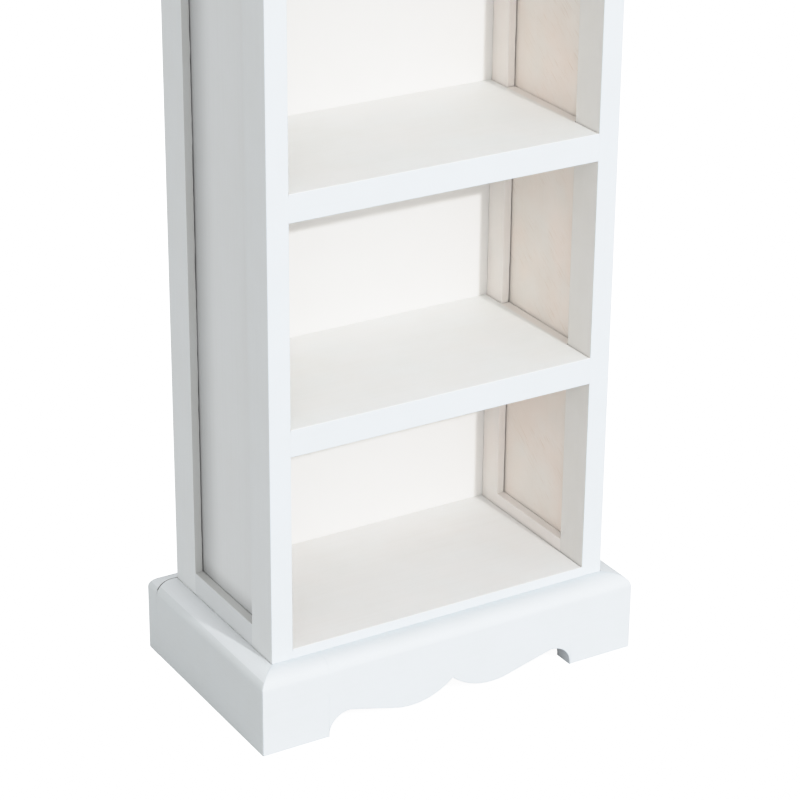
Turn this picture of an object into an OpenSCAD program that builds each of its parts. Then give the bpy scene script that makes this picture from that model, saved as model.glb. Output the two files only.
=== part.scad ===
// Small painted wooden bookcase: frame-and-panel sides, three fixed shelves
// between a bottom board and a head board, a scalloped plinth wrapped round the
// foot and a plain cornice wrapped round the head.
// Millimetres, +Z up, -Y is the front. The origin is on the floor, under the
// centre of the top board. Y inside the modules is measured from the front plane
// of the side frames, and put() carries it into the frame of the part.

/* [Body] */
// Width over the two side frames
body_w = 300; // [260:5:420]
// Depth of the side frames, front to rear
body_d = 160; // [150:5:240]
// Thickness of the side frames
frame_t = 18; // [16:1:22]
// Width of the front stiles, seen from the side
front_stile_w = 32; // [30:1:40]
// Width of the rear stiles, seen from the side
rear_stile_w = 33; // [32:1:40]
// Thickness of the thin panels
panel_t = 3; // [3:0.5:5]
// Depth of the grooves that hold the panels
groove_d = 6; // [5:0.5:6]
// Play of the side panels in their grooves, a side
panel_play = 0.5; // [0.1:0.1:0.8]
// Distance of the back panel's groove from the rear of the frames
back_inset = 10; // [9:0.5:11]

/* [Shelves] */
// Thickness of every shelf and of the bottom and head boards
shelf_t = 22; // [20:1:22]
// Height of the bottom board's top face
floor_z = 74; // [72:1:80]
// Distance from one shelf top to the next
pitch = 183; // [150:1:300]
// How far the side frames' rails show inside a compartment
rail_show = 11; // [8:1:14]
// Gap left round the shelf ends where they pass between the stiles
ear_gap = 0.25; // [0.1:0.05:0.5]

/* [Plinth] */
// Height of the plinth
plinth_h = 66; // [62:1:68]
// Thickness of the front and side boards of plinth and cornice
plinth_t = 18.5; // [16:0.5:22]
// Thickness of the rear boards of plinth and cornice
rear_t = 16; // [15:0.5:20]
// Radius of the rounded outer edge of plinth and cornice
edge_r = 10; // [6:0.5:12]
// Half width of the cut-out between the feet
foot_x = 110.4; // [105:0.2:112]
// Radius of the cove beside each foot
cove_r = 17; // [15:0.5:18]
// Radius of the two lobes of the scalloped edge
lobe_r = 56; // [50:1:60]
// Distance of each lobe's lowest point from the middle
lobe_x = 37; // [32:1:40]
// Height of the lobes' lowest points above the floor
lobe_z = 6; // [4:0.5:8]

/* [Top] */
// Height of the cornice boards
cornice_h = 39; // [38:1:44]
// Thickness of the top board
top_t = 18; // [16:1:24]
// How far the top board passes the cornice
top_step = 7.5; // [4:0.5:12]
// Radius of the top board's long edges
top_r = 5; // [3:0.5:7]

/* [Fixings] */
// Diameter of the wooden dowels
dowel_d = 8; // [6:1:8]
// Length of the wooden dowels
dowel_l = 30; // [26:1:30]
// Diameter of the wood screws' shanks
screw_d = 3.5; // [3:0.5:4]
// Length of the wood screws
screw_l = 30; // [26:1:30]
// Diameter of the panel pins and moulding pins
pin_d = 1.4; // [1.2:0.1:1.8]

/* [Hidden] */
$fn = 64;

// plays
back_play = 0.1;       // back panel in its groove, a side
panel_end_play = 0.5;  // panel edges to the bottoms of their grooves
board_play = 0.03;     // ends of the boards and base rails to the side frames
ear_panel_play = 0.1;  // shelf ears to the side panels
base_play = 0.1;       // base rails to the bottom board
mitre_play = 0.02;     // each mitred end to the mitre plane
bore_play = 0.05;      // radial, round dowels, screws and pins
overcut = 1;           // how far cutters pass the faces they open

// across: X
half_w = body_w / 2;
inner_x = half_w - frame_t;    // inner face of a side frame
mid_x = half_w - frame_t / 2;  // middle of a side frame

// front to rear: Y
back_y = body_d - back_inset;      // front of the back panel's groove
rear_y = body_d - rear_stile_w;    // front edge of a rear stile
top_over = plinth_t + top_step;    // top board overhang, front and sides
top_over_rear = rear_t + top_step; // top board overhang, rear
top_w = body_w + 2 * top_over;
top_d = top_over + body_d + top_over_rear;
front_y = top_over - top_d / 2;    // front plane of the frames

// heights: Z
stile_z = 2;                                   // stiles stop just clear of the floor
bottom_z = floor_z - shelf_t;                  // underside of the bottom board
last_board = 4;                                // the head board; board 0 is the bottom board
head_z = floor_z + last_board * pitch - shelf_t;  // underside of the head board
head_show = 7;                                 // head board seen below the cornice
frame_top = head_z + head_show + cornice_h;    // top of the side frames
low_rail = [22, floor_z + rail_show];          // lower and upper edges of the rails
high_rail = [head_z - rail_show, frame_top];
base_rail = [20, bottom_z];
back_groove_z = bottom_z + 2;                  // lower end of the back panel's groove

// dowels
rail_dowel_z = [31, 50, frame_top - 20, frame_top - 7];
board_dowel_y = [front_stile_w / 2, rear_y + 11.5];
base_dowel_y = [frame_t / 2, body_d - frame_t / 2];
top_dowel_y = [8, body_d / 2, body_d - 8];
board_dowel_shift = 3;  // dowel's middle, inwards of the frame's inner face
top_dowel_drop = 3;     // dowel's middle, below the frame's top

// wood screws
screw_head_r = screw_d * 1.05;
screw_head_h = 2.2;
screw_shank_z = 1.1;    // shank starts inside the head
screw_tip_h = 3;
screw_tip_r = 0.3;
screw_slot_w = 0.8;
screw_slot_d = 0.9;
screw_proud = 0.15;     // how far the screw heads stand out of the wood
side_screw_y = [body_d * 0.39, body_d * 0.6];
side_screw_z = 40;
cross_screw_x = [-85, 0, 85];  // screws of the front and rear plinth boards
cross_screw_z = 36;

// pins
pin_head_h = 0.7;
pin_shank_z = 0.3;      // shank starts inside the head
moulding_pin_l = 27;
moulding_head_d = 1.8;
pin_sink = 1.2;         // how deep the moulding pins are punched
pin_z = head_z + shelf_t - 3;  // height of the moulding pins
side_pin_y = [frame_t, body_d / 2, body_d - frame_t];
front_pin_x = [-mid_x, -60, 0, 60, mid_x];
rear_pin_x = [-mid_x, mid_x];
back_pin_l = 20;
back_head_d = 3;
back_pin_x = [-100, -50, 0, 50, 100];

// colours
paint = [0.95, 0.96, 0.96];
paint_side = [0.88, 0.89, 0.89];
paint_shelf = [0.93, 0.92, 0.90];
raw_panel = [0.86, 0.82, 0.79];
beech = [0.80, 0.66, 0.47];
steel = [0.62, 0.63, 0.65];

// ---- helpers ----
// Y from the frames' front plane, carried into the frame of the part
module put() { translate([0, front_y, 0]) children(); }
// box between two limits on each axis
module bar(x, y, z) {
    translate([x[0], y[0], z[0]])
        cube([x[1] - x[0], y[1] - y[0], z[1] - z[0]]);
}
// a right-hand thing made left-hand
module left() { mirror([1, 0, 0]) children(); }
module both_sides() {
    left() children();
    children();
}

// ---- fixings: solids, and with play > 0 the holes they sit in ----
// dowel centred on the origin, along X, Y or Z
module dowel_x(play) {
    extra = play > 0 ? overcut : 0;
    translate([-dowel_l / 2 - extra, 0, 0]) rotate([0, 90, 0])
        cylinder(h = dowel_l + 2 * extra, r = dowel_d / 2 + play);
}
module dowel_y(play) { rotate([0, 0, 90]) dowel_x(play); }
module dowel_z(play) { rotate([0, 90, 0]) dowel_x(play); }

// countersunk wood screw driven along +Z, head face at z = 0
module wood_screw(play = 0) {
    shank_r = screw_d / 2 + play;
    union() {
        cylinder(h = screw_head_h, r1 = screw_head_r + play, r2 = shank_r);
        translate([0, 0, screw_shank_z])
            cylinder(h = screw_l - screw_shank_z - screw_tip_h + play, r = shank_r);
        translate([0, 0, screw_l - screw_tip_h])
            cylinder(h = screw_tip_h + play, r1 = shank_r, r2 = screw_tip_r);
        if (play > 0)
            translate([0, 0, -overcut]) cylinder(h = overcut + 0.01, r = screw_head_r + play);
    }
}
// the screw itself, with a straight slot across its head
module slotted_screw() {
    difference() {
        wood_screw();
        translate([-screw_d * 1.5, -screw_slot_w / 2, -overcut])
            cube([screw_d * 3, screw_slot_w, overcut + screw_slot_d]);
    }
}
// flat-headed pin driven along +Z, head face at z = 0; sunk opens its hole above the head
module pin(length, head_d, play, sunk = 0) {
    union() {
        if (play > 0 && sunk > 0)
            translate([0, 0, -sunk - overcut])
                cylinder(h = sunk + overcut + 0.2, r = head_d / 2 + play);
        cylinder(h = pin_head_h + play, r = head_d / 2 + play);
        translate([0, 0, pin_shank_z])
            cylinder(h = length - pin_shank_z + play, r = pin_d / 2 + play);
    }
}
module moulding_pin(play) { pin(moulding_pin_l, moulding_head_d, play, pin_sink); }

// ---- where the fixings go ----
// dowels and side fixings are the right-hand ones; front and rear rows are whole
function board_z(i) =
    i < last_board ? floor_z + i * pitch - shelf_t / 2 : head_z + shelf_t / 2;

module frame_dowel_set(play = 0) {
    for (z = rail_dowel_z, y = [front_stile_w, rear_y])
        translate([mid_x, y, z]) dowel_y(play);
}
module cross_dowels(rows, z, play) {
    for (y = rows)
        translate([inner_x - board_dowel_shift, y, z]) dowel_x(play);
}
module base_dowel_pair(play) {
    cross_dowels(base_dowel_y, (base_rail[0] + base_rail[1]) / 2, play);
}
module shelf_dowel_set(play = 0) {
    for (i = [0 : last_board]) cross_dowels(board_dowel_y, board_z(i), play);
    base_dowel_pair(play);
}
module top_dowel_set(play = 0) {
    for (y = top_dowel_y)
        translate([mid_x, y, frame_top - top_dowel_drop]) dowel_z(play);
}
// screw places; proud moves the head face out of the wood
module at_side_screws(proud = 0) {
    for (y = side_screw_y)
        translate([inner_x - proud, y, side_screw_z]) rotate([0, 90, 0]) children();
}
module at_front_screws(proud = 0) {
    for (x = cross_screw_x)
        translate([x, frame_t + proud, cross_screw_z]) rotate([90, 0, 0]) children();
}
module at_rear_screws(proud = 0) {
    for (x = cross_screw_x)
        translate([x, body_d - frame_t - proud, cross_screw_z]) rotate([-90, 0, 0]) children();
}
module side_pin_set(play = 0) {
    for (y = side_pin_y)
        translate([half_w + plinth_t - pin_sink, y, pin_z])
            rotate([0, -90, 0]) moulding_pin(play);
}
module front_pin_set(play = 0) {
    for (x = front_pin_x)
        translate([x, -plinth_t + pin_sink, pin_z]) rotate([-90, 0, 0]) moulding_pin(play);
}
module rear_pin_set(play = 0) {
    for (x = rear_pin_x)
        translate([x, body_d + rear_t - pin_sink, pin_z]) rotate([90, 0, 0]) moulding_pin(play);
}
// pins into the rear edge of board i, their heads on the back panel
module back_pin_row(i, play = 0) {
    for (x = back_pin_x)
        translate([x, back_y + back_play + panel_t + pin_head_h, board_z(i)])
            rotate([90, 0, 0]) pin(back_pin_l, back_head_d, play);
}

// ---- side frames (right-hand; the left is the mirror image) ----
module panel_slot() {
    half_t = panel_t / 2 + panel_play;
    bar([mid_x - half_t, mid_x + half_t],
        [front_stile_w - groove_d, rear_y + groove_d],
        [low_rail[1] - groove_d, high_rail[0] + groove_d]);
}
// what is taken out of both stiles
module stile_cuts() {
    panel_slot();
    frame_dowel_set(bore_play);
    shelf_dowel_set(bore_play);
    top_dowel_set(bore_play);
    side_pin_set(bore_play);
}
module front_stile() {
    difference() {
        bar([inner_x, half_w], [0, front_stile_w], [stile_z, frame_top]);
        stile_cuts();
        front_pin_set(bore_play);
    }
}
module rear_stile() {
    difference() {
        bar([inner_x, half_w], [rear_y, body_d], [stile_z, frame_top]);
        stile_cuts();
        // groove for the back panel
        bar([inner_x - overcut, inner_x + groove_d],
            [back_y, back_y + panel_t + 2 * back_play],
            [back_groove_z, head_z + shelf_t + 1]);
        rear_pin_set(bore_play);
    }
}
module rail(edges) {
    difference() {
        bar([inner_x, half_w], [front_stile_w, rear_y], edges);
        panel_slot();
        frame_dowel_set(bore_play);
        top_dowel_set(bore_play);
        at_side_screws() wood_screw(bore_play);
        side_pin_set(bore_play);
    }
}
module side_panel() {
    reach = groove_d - panel_end_play;
    bar([mid_x - panel_t / 2, mid_x + panel_t / 2],
        [front_stile_w - reach, rear_y + reach],
        [low_rail[1] - reach, high_rail[0] + reach]);
}

// ---- between the sides ----
// board i, counted from the bottom; shelves have ears that pass between the stiles
module board(i) {
    end_x = inner_x - board_play;
    ear_x = mid_x - panel_t / 2 - ear_panel_play;
    faces = [board_z(i) - shelf_t / 2, board_z(i) + shelf_t / 2];
    difference() {
        union() {
            bar([-end_x, end_x], [0, back_y], faces);
            // the bottom and head boards end against the rails, so they have no ears
            if (i > 0 && i < last_board)
                bar([-ear_x, ear_x], [front_stile_w + ear_gap, rear_y - ear_gap], faces);
        }
        both_sides() shelf_dowel_set(bore_play);
        back_pin_row(i, bore_play);
        if (i == last_board) front_pin_set(bore_play);
    }
}
module back_sheet() {
    edge_x = inner_x + groove_d - panel_end_play;
    difference() {
        bar([-edge_x, edge_x],
            [back_y + back_play, back_y + back_play + panel_t],
            [back_groove_z + panel_end_play, head_z + shelf_t]);
        for (i = [0 : last_board]) back_pin_row(i, bore_play);
    }
}
// rail under the bottom board, its front face at y
module base_bar(y) {
    end_x = inner_x - board_play;
    difference() {
        bar([-end_x, end_x], [y, y + frame_t], [base_rail[0], base_rail[1] - base_play]);
        both_sides() base_dowel_pair(bore_play);
        at_front_screws() wood_screw(bore_play);
        at_rear_screws() wood_screw(bore_play);
    }
}

// ---- plinth and cornice boards ----
skirt_w = body_w + 2 * plinth_t;  // width over the side boards

// board section: x outwards from the frame, y up, outer top edge rounded
module skirt_section(thickness, height) {
    difference() {
        square([thickness, height]);
        translate([thickness - edge_r, height - edge_r]) difference() {
            square([edge_r + overcut, edge_r + overcut]);
            circle(r = edge_r);
        }
    }
}
// board along X, inner face on y = 0, outer face on y = -thickness
module skirt(length, thickness, height) {
    translate([-length / 2, 0, 0]) rotate([90, 0, 90]) mirror([1, 0, 0])
        linear_extrude(height = length) skirt_section(thickness, height);
}
// one side of the mitre plane at the right front corner: the side board's side,
// which leaves the front board, or the other way round
mitre_box = [200, 100, 2000];
module mitre_cut(keep_front) {
    start = keep_front ? -mitre_play : mitre_play - mitre_box[1];
    translate([half_w, 0, -overcut]) rotate([0, 0, -45])
        translate([-mitre_box[0] / 2, start, 0]) cube(mitre_box);
}
module front_skirt(height) {
    difference() {
        skirt(skirt_w, plinth_t, height);
        both_sides() mitre_cut(keep_front = true);
    }
}
module side_skirt(height) {
    difference() {
        translate([half_w, (body_d - plinth_t) / 2, 0]) rotate([0, 0, 90])
            skirt(body_d + plinth_t, plinth_t, height);
        mitre_cut(keep_front = false);
    }
}
module rear_skirt(height) {
    difference() {
        translate([0, body_d, 0]) rotate([0, 0, 180]) skirt(skirt_w, rear_t, height);
        // the rounding is carried round both ends
        both_sides()
            translate([skirt_w / 2 - edge_r, body_d - overcut, height - edge_r]) difference() {
                cube([edge_r + overcut, rear_t + 2 * overcut, edge_r + overcut]);
                translate([0, -overcut, 0]) rotate([-90, 0, 0])
                    cylinder(h = rear_t + 4 * overcut, r = edge_r);
            }
    }
}
// a cornice board is a plinth board turned upside down under the top board
module upturned() { translate([0, 0, frame_top]) mirror([0, 0, 1]) children(); }

module side_plinth() {
    difference() {
        side_skirt(plinth_h);
        at_side_screws() wood_screw(bore_play);
    }
}
module side_cornice() {
    difference() {
        upturned() side_skirt(cornice_h);
        side_pin_set(bore_play);
    }
}

// the scalloped edge: two arc lobes meeting in a cusp, each running through a
// straight rise into the cove beside the foot; the rise touches both arcs
lobe_centre = [lobe_x, lobe_z + lobe_r];
cove_centre = [foot_x - cove_r + 0.1, 1.5];
arc_gap = lobe_centre - cove_centre;
rise_angle = atan2(arc_gap[1], arc_gap[0]) - acos((lobe_r + cove_r) / norm(arc_gap));
rise_normal = [cos(rise_angle), sin(rise_angle)];
lobe_end = lobe_centre - lobe_r * rise_normal;
cove_end = cove_centre + cove_r * rise_normal;
function flip(point) = [-point[0], point[1]];

module scallop_shape() {
    union() {
        difference() {
            polygon([
                flip(cove_centre),
                [-cove_centre[0], -overcut],
                [cove_centre[0], -overcut],
                cove_centre,
                cove_end,
                lobe_end,
                [0, lobe_z + lobe_r / 2],
                flip(lobe_end),
                flip(cove_end)
            ]);
            for (centre = [lobe_centre, flip(lobe_centre)])
                translate(centre) circle(r = lobe_r, $fn = 180);
        }
        for (centre = [cove_centre, flip(cove_centre)])
            translate(centre) circle(r = cove_r, $fn = 96);
    }
}
module scallop() {
    translate([0, overcut, 0]) rotate([90, 0, 0])
        linear_extrude(height = plinth_t + 2 * overcut) scallop_shape();
}

// ---- side frame pieces ----
module right_front_stile() { color(paint) put() front_stile(); }
module left_front_stile() { color(paint) put() left() front_stile(); }
module right_rear_stile() { color(paint_side) put() rear_stile(); }
module left_rear_stile() { color(paint_side) put() left() rear_stile(); }
module right_top_rail() { color(paint_side) put() rail(high_rail); }
module left_top_rail() { color(paint_side) put() left() rail(high_rail); }
module right_bottom_rail() { color(paint_side) put() rail(low_rail); }
module left_bottom_rail() { color(paint_side) put() left() rail(low_rail); }
module right_panel() { color(raw_panel) put() side_panel(); }
module left_panel() { color(raw_panel) put() left() side_panel(); }

// ---- pieces between the sides ----
module back_panel() { color(paint) put() back_sheet(); }
module bottom_board() { color(paint_shelf) put() board(0); }
module lower_shelf() { color(paint_shelf) put() board(1); }
module middle_shelf() { color(paint_shelf) put() board(2); }
module upper_shelf() { color(paint_shelf) put() board(3); }
module head_board() { color(paint_shelf) put() board(last_board); }
module front_base_rail() { color(paint_side) put() base_bar(0); }
module rear_base_rail() { color(paint_side) put() base_bar(body_d - frame_t); }

// ---- plinth and cornice pieces ----
module plinth_front() {
    color(paint) put() difference() {
        front_skirt(plinth_h);
        scallop();
        at_front_screws() wood_screw(bore_play);
    }
}
module plinth_right() { color(paint_side) put() side_plinth(); }
module plinth_left() { color(paint_side) put() left() side_plinth(); }
module plinth_rear() {
    color(paint_side) put() difference() {
        rear_skirt(plinth_h);
        at_rear_screws() wood_screw(bore_play);
    }
}
module cornice_front() {
    color(paint) put() difference() {
        upturned() front_skirt(cornice_h);
        front_pin_set(bore_play);
    }
}
module cornice_right() { color(paint_side) put() side_cornice(); }
module cornice_left() { color(paint_side) put() left() side_cornice(); }
module cornice_rear() {
    color(paint_side) put() difference() {
        upturned() rear_skirt(cornice_h);
        rear_pin_set(bore_play);
    }
}

// ---- top board ----
// what a rounding takes off an upper edge that runs along Y
module edge_cut(length) {
    difference() {
        translate([0, -length / 2 - overcut, 0])
            cube([top_r + overcut, length + 2 * overcut, top_r + overcut]);
        translate([0, -length / 2 - 2 * overcut, 0]) rotate([-90, 0, 0])
            cylinder(h = length + 4 * overcut, r = top_r);
    }
}
// flat board with its four outer edges rounded above and below
module top_board() {
    edge_z = top_t / 2 - top_r;
    color(paint) difference() {
        translate([-top_w / 2, -top_d / 2, frame_top]) cube([top_w, top_d, top_t]);
        for (below = [0, 1])
            translate([0, 0, frame_top + top_t / 2]) mirror([0, 0, below]) {
                both_sides() translate([top_w / 2 - top_r, 0, edge_z]) edge_cut(top_d);
                for (front = [0, 1])
                    mirror([0, front, 0]) translate([0, top_d / 2 - top_r, edge_z])
                        rotate([0, 0, 90]) edge_cut(top_w);
            }
        put() both_sides() top_dowel_set(bore_play);
    }
}

// ---- fixings ----
module frame_dowels() { color(beech) put() both_sides() frame_dowel_set(); }
module shelf_dowels() { color(beech) put() both_sides() shelf_dowel_set(); }
module top_dowels() { color(beech) put() both_sides() top_dowel_set(); }
module plinth_screws() {
    color(steel) put() {
        both_sides() at_side_screws(screw_proud) slotted_screw();
        at_front_screws(screw_proud) slotted_screw();
        at_rear_screws(screw_proud) slotted_screw();
    }
}
module cornice_pins() {
    color(steel) put() {
        both_sides() side_pin_set();
        front_pin_set();
        rear_pin_set();
    }
}
module back_pins() { color(steel) put() for (i = [0 : last_board]) back_pin_row(i); }

left_front_stile();
left_rear_stile();
left_top_rail();
left_bottom_rail();
left_panel();
right_front_stile();
right_rear_stile();
right_top_rail();
right_bottom_rail();
right_panel();
back_panel();
bottom_board();
lower_shelf();
middle_shelf();
upper_shelf();
head_board();
front_base_rail();
rear_base_rail();
plinth_front();
plinth_left();
plinth_right();
plinth_rear();
cornice_front();
cornice_left();
cornice_right();
cornice_rear();
top_board();
frame_dowels();
shelf_dowels();
top_dowels();
plinth_screws();
cornice_pins();
back_pins();
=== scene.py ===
# Small painted bookcase: two framed sides with thin panels, five boards, a back sheet,
# a plinth with a scalloped front and a cornice. It stands on z = 0, centred on x = 0, with
# its front towards -y. Shapes are in millimetres until a mesh is made; shaders, lights and
# camera are in metres. Boards are lofted through rings of points, so their arrises,
# grooves and joints are real geometry.
import math
import bmesh
import bpy
import numpy as np
from mathutils import Vector, Matrix, noise


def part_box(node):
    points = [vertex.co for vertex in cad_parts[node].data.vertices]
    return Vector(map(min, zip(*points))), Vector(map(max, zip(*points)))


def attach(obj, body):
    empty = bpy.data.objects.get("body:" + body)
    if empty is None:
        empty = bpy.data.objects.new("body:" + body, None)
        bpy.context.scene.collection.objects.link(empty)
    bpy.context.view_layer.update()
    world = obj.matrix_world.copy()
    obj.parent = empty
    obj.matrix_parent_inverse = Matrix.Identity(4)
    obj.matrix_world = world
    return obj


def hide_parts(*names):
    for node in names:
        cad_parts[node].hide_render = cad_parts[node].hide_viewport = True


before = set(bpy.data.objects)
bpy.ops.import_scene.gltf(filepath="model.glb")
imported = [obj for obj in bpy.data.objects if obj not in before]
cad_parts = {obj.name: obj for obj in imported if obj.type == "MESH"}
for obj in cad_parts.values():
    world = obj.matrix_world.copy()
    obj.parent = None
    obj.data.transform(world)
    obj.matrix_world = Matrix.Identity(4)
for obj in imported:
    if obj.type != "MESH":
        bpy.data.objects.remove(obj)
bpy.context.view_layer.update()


# ------------------------------------------------------------------ driving sizes, mm
def box_mm(node):
    lo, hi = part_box(node)
    return np.array(lo) * 1000.0, np.array(hi) * 1000.0


front_stile_lo, front_stile_hi = box_mm("right_front_stile")
rear_stile_lo, rear_stile_hi = box_mm("right_rear_stile")
panel_lo, panel_hi = box_mm("right_panel")
back_lo, back_hi = box_mm("back_panel")
plinth_lo, plinth_hi = box_mm("plinth_front")
cornice_lo, cornice_hi = box_mm("cornice_front")
plinth_rear_lo, plinth_rear_hi = box_mm("plinth_rear")
BOARDS = {node: box_mm(node) for node in
          ("bottom_board", "lower_shelf", "middle_shelf", "upper_shelf", "head_board")}

INNER_X, OUTER_X = front_stile_lo[0], front_stile_hi[0]     # faces of the right side frame
FRONT_Y, REAR_Y = front_stile_lo[1], rear_stile_hi[1]
FOOT_Z, TOP_Z = front_stile_lo[2], front_stile_hi[2]
# panel opening between the stiles and the rails
OPEN_FRONT_Y, OPEN_REAR_Y = front_stile_hi[1], rear_stile_lo[1]
OPEN_LOW_Z = box_mm("right_bottom_rail")[1][2]
OPEN_HIGH_Z = box_mm("right_top_rail")[0][2]
GROOVE_DEPTH = OPEN_FRONT_Y - panel_lo[1] + 0.5
PANEL_PLAY = 0.55                        # on each face of the panel
GROOVE_IN, GROOVE_OUT = panel_lo[0] - PANEL_PLAY, panel_hi[0] + PANEL_PLAY
SHARP = 0.03                             # corner radius where two pieces meet flush

UNEVEN_DEPTH, UNEVEN_LENGTH = 0.05, 22.0     # unevenness of hand-sanded wood
QUARTER_TURN = [i * math.pi / 8 for i in range(5)]
HALF_CORNER = [math.radians(45) * i / 4 for i in range(5)]


# ------------------------------------------------------------------ outlines and lofts
def unit(v):
    return v / max(np.linalg.norm(v), 1e-12)


def cross(a, b):
    return a[0] * b[1] - a[1] * b[0]


def safe_acos(value):
    return math.acos(max(-1, min(1, float(value))))


def rounded_outline(corners, radii, steps=3, inset=0.0):
    """Closed anticlockwise outline with rounded corners; inset shrinks it."""
    corners = [np.array(p, float) for p in corners]
    edges = []
    for start, end in zip(corners, corners[1:] + corners[:1]):
        along = unit(end - start)
        edges.append((start + np.array([-along[1], along[0]]) * inset, along))
    moved = []
    for i, (start, along) in enumerate(edges):
        last_start, last_along = edges[i - 1]
        t = cross(start - last_start, along) / cross(last_along, along)
        moved.append(last_start + last_along * t)
    points = []
    for i, corner in enumerate(moved):
        back = unit(moved[i - 1] - corner)
        ahead = unit(moved[(i + 1) % len(moved)] - corner)
        convex = cross(back, ahead) < 0
        radius = max(radii[i] + (-inset if convex else inset), 0.02)
        angle = safe_acos(back @ ahead)
        centre = corner + unit(back + ahead) * radius / math.sin(angle / 2)
        reach = radius / math.tan(angle / 2)
        first = corner + back * reach - centre
        last = corner + ahead * reach - centre
        sweep = safe_acos(float(first @ last) / (radius * radius))
        for k in range(steps + 1):
            t = k / steps
            points.append(centre + (math.sin((1 - t) * sweep) * first
                                    + math.sin(t * sweep) * last) / math.sin(sweep))
    return np.array(points)


def spread(start, end, step):
    """Even positions strictly between start and end."""
    count = max(1, int(round((end - start) / step)))
    return [start + (end - start) * i / count for i in range(1, count)]


def end_profile(radius):
    """(distance from the end, inset) pairs that round an end's arris."""
    return [(radius * (1 - math.cos(a)), radius * (1 - math.sin(a))) for a in QUARTER_TURN]


def stations(start, end, start_radius, end_radius, step, extra=()):
    """(position, inset) along a board, both ends rounded."""
    low, high = start + start_radius, end - end_radius
    between = {round(x, 3) for x in spread(low, high, step)}
    between |= {x for x in extra if low + 0.05 < x < high - 0.05}
    return ([(start + d, inset) for d, inset in end_profile(start_radius)]
            + [(x, 0.0) for x in sorted(between)]
            + [(end - d, inset) for d, inset in reversed(end_profile(end_radius))])


def place(outline, position, axis):
    """Sets a plan (x, y) outline at a height, or a (z, x) outline at a depth y."""
    u, v = outline[:, 0], outline[:, 1]
    w = np.full(len(outline), float(position))
    return np.stack({"z": (u, v, w), "y": (v, w, u)}[axis], 1)


def loft(rings):
    """(vertices, faces) of a solid through rings of equal length, capped at both ends."""
    n, m = len(rings), len(rings[0])
    faces = []
    for i in range(n - 1):
        for j in range(m):
            k = (j + 1) % m
            faces.append((i * m + j, i * m + k, (i + 1) * m + k, (i + 1) * m + j))
    faces.append(tuple(reversed(range(m))))
    faces.append(tuple((n - 1) * m + j for j in range(m)))
    return np.concatenate(rings), faces


def slab(outline, radii, bottom, top, arris, steps=3, spacing=8.0):
    """Board from an outline in plan, with rounded arrises all round."""
    return loft([place(rounded_outline(outline, radii, steps, inset), z, "z")
                 for z, inset in stations(bottom, top, arris, arris, spacing)])


def rectangle(lo, hi):
    return [(lo[0], lo[1]), (hi[0], lo[1]), (hi[0], hi[1]), (lo[0], hi[1])]


def near(low, high, value, soft):
    """1 between low and high, falling to 0 within the soft length outside."""
    return max(0.0, min(1.0, (value - low) / soft + 1, (high - value) / soft + 1))


# ------------------------------------------------------------------ meshes and objects
def roles_by(mesh, role):
    """Role of every face, from where its centre lies."""
    verts, faces = np.array(mesh[0]), mesh[1]
    return [role(verts[list(f)].mean(0)) for f in faces]


def uneven(points, normals):
    """Moves points along their normals, alike at the same place on neighbouring pieces."""
    out = points.copy()
    for i in range(len(points)):
        p = Vector(points[i]) / UNEVEN_LENGTH
        height = noise.noise(p) + 0.5 * noise.noise(p * 2.7 + Vector((7.1, 3.3, 9.2)))
        out[i] += normals[i] * UNEVEN_DEPTH * height
    return out


def smooth(mesh):
    mesh.polygons.foreach_set("use_smooth", np.ones(len(mesh.polygons), bool))


def add_piece(node, mesh, coats, roles=None, is_sheet=False, mirror=False):
    """Object in place of a CAD node. coats maps each face role to a material name."""
    points, faces = np.array(mesh[0], float), mesh[1]
    if mirror:
        points[:, 0] *= -1
        faces = [tuple(reversed(f)) for f in faces]
    name = node + ("_sheet" if is_sheet else "_wood")
    data = bpy.data.meshes.new(name)
    data.from_pydata([tuple(p) for p in points], [], faces)
    data.update()
    if not is_sheet:
        points = uneven(points, np.array([n.vector for n in data.vertex_normals]))
    points[:, 2] = np.maximum(points[:, 2], 0.0)      # nothing dips below the floor
    data.vertices.foreach_set("co", (points * 0.001).astype(np.float32).ravel())
    data.update()
    for coat in coats.values():
        data.materials.append(MATERIALS[coat])
    if roles is not None:
        order = list(coats)
        data.polygons.foreach_set(
            "material_index", np.array([order.index(r) for r in roles], np.int32))
    smooth(data)
    data.validate()
    piece = bpy.data.objects.new(name, data)
    bpy.context.scene.collection.objects.link(piece)
    weighted = piece.modifiers.new("weighted_normals", "WEIGHTED_NORMAL")
    weighted.mode = "FACE_AREA_WITH_ANGLE"
    weighted.weight = 60
    weighted.keep_sharp = False
    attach(piece, "root")
    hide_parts(node)
    return piece


def turn_outward(piece):
    """Turns every face outwards and drops zero-size faces."""
    bm = bmesh.new()
    bm.from_mesh(piece.data)
    bmesh.ops.remove_doubles(bm, verts=bm.verts, dist=1e-6)
    bmesh.ops.dissolve_degenerate(bm, edges=bm.edges, dist=1e-6)
    bmesh.ops.recalc_face_normals(bm, faces=bm.faces)
    bm.to_mesh(piece.data)
    bm.free()
    smooth(piece.data)


# ------------------------------------------------------------------ shader helpers
def add_node(tree, kind, inputs=None, **settings):
    """New node; an input given as a socket is linked, any other value is set."""
    node = tree.nodes.new(kind)
    for key, value in settings.items():
        setattr(node, key, value)
    for key, value in (inputs or {}).items():
        if isinstance(value, bpy.types.NodeSocket):
            tree.links.new(value, node.inputs[key])
        else:
            node.inputs[key].default_value = value
    return node


def object_coordinates(tree):
    return add_node(tree, "ShaderNodeTexCoord").outputs["Object"]


def noise_texture(tree, vector, scale, detail=2.0, roughness=0.5, distortion=0.0):
    return add_node(tree, "ShaderNodeTexNoise", {
        "Vector": vector, "Scale": scale, "Detail": detail,
        "Roughness": roughness, "Distortion": distortion}).outputs["Fac"]


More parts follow.
